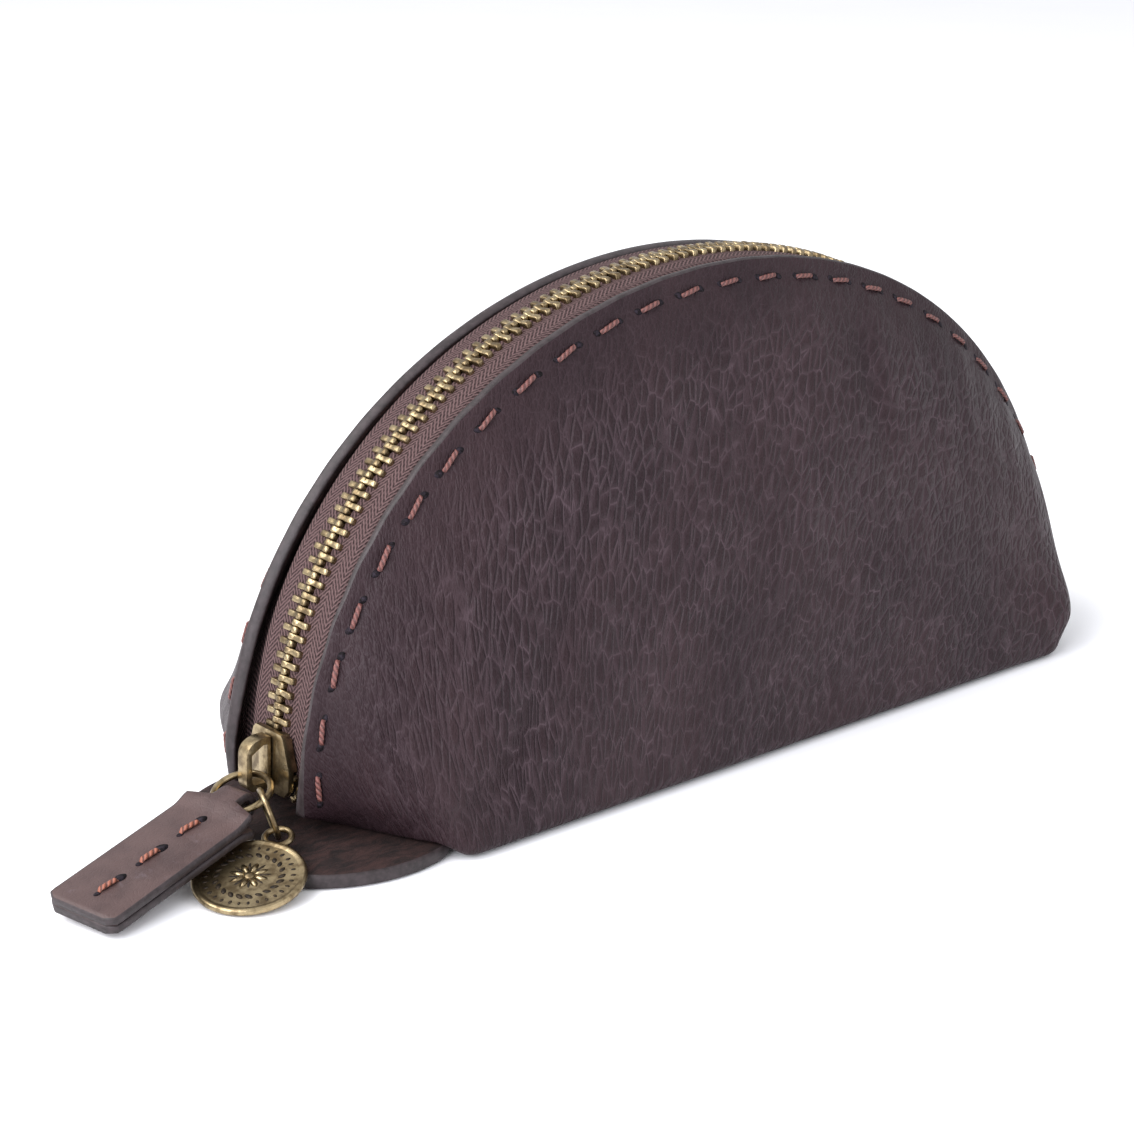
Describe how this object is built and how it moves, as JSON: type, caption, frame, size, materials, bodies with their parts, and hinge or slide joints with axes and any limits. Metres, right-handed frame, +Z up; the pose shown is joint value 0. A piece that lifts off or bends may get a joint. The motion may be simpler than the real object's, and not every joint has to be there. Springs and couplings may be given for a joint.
{
  "type": "zippered pouch",
  "caption": "Arched leather coin pouch that stands on a soft flat base, with a metal zip over its top, a round end tongue, a ring-hung leather zip puller and a round metal charm.",
  "frame": {"origin": "centre of the flat underside of the base, midway between the two bottom folds and the two ends of the zip", "axes": "+X along the pouch, away from the closed end of the zip where the slider, puller and tongue are; +Y from the front side panel to the back one; +Z up"},
  "size_m": [0.2378, 0.0628, 0.0888],
  "materials": {
    "body_leather": "pebbled, semi-matt",
    "strap_leather": "smooth, scuffed, painted edges",
    "zip_tape": "twill weave",
    "thread": "waxed thread",
    "brass": "antique, satin"
  },
  "bodies": {
    "base": {"base_panel": "body_leather", "bottom_stop": "brass"},
    "front_shell": {"front_panel": "body_leather", "front_zip_tape": "zip_tape", "front_teeth": "brass", "front_top_stop": "brass", "front_seam_thread": "thread"},
    "back_shell": {"back_panel": "body_leather", "back_zip_tape": "zip_tape", "back_teeth": "brass", "back_top_stop": "brass", "back_seam_thread": "thread"},
    "slider": {"slider_body": "brass", "slider_crown": "brass"},
    "pull_ring": {"pull_ring": "brass"},
    "puller": {"puller_strap": "strap_leather", "puller_thread": "thread"},
    "charm_ring": {"charm_ring": "brass"},
    "medallion": {"medallion": "brass"}
  },
  "joints": [
    {"name": "slider_travel", "type": "hinge", "parent": "base", "child": "slider", "pos_m": [-0.0144, 0, 0.0054], "axis": [0, 1, 0], "range_deg": [0, 77]},
    {"name": "mouth_front", "type": "hinge", "parent": "base", "child": "front_shell", "pos_m": [0, -0.0314, 0.0006], "axis": [1, 0, 0], "range_deg": [0, 12], "deforming": ["front_panel", "front_zip_tape", "front_teeth", "front_top_stop", "front_seam_thread"]},
    {"name": "mouth_back", "type": "hinge", "parent": "base", "child": "back_shell", "pos_m": [0, 0.0314, 0.0006], "axis": [-1, 0, 0], "range_deg": [0, 12], "deforming": ["back_panel", "back_zip_tape", "back_teeth", "back_top_stop", "back_seam_thread"]},
    {"name": "pull_ring_swing", "type": "hinge", "parent": "slider", "child": "pull_ring", "pos_m": [-0.09825, 0, 0.01093], "axis": [0, 1, 0], "range_deg": [0, 65]},
    {"name": "puller_swing", "type": "hinge", "parent": "pull_ring", "child": "puller", "pos_m": [-0.1068, -0.00369, 0.00821], "axis": [-0.3962, 0.9182, -0.0008], "range_deg": [0, 32]},
    {"name": "charm_ring_slide", "type": "hinge", "parent": "pull_ring", "child": "charm_ring", "pos_m": [-0.10252, -0.00185, 0.00957], "axis": [-0.2577, -0.1104, 0.9599], "range_deg": [0, 15]},
    {"name": "medallion_swing", "type": "hinge", "parent": "charm_ring", "child": "medallion", "pos_m": [-0.10259, -0.01213, 0.00554], "axis": [-0.1703, -0.1302, 0.9767], "range_deg": [0, 45]}
  ],
  "couplings": [
    {"joint": "mouth_front", "follows": "slider_travel", "ratio": 0.15584},
    {"joint": "mouth_back", "follows": "slider_travel", "ratio": 0.15584}
  ]
}
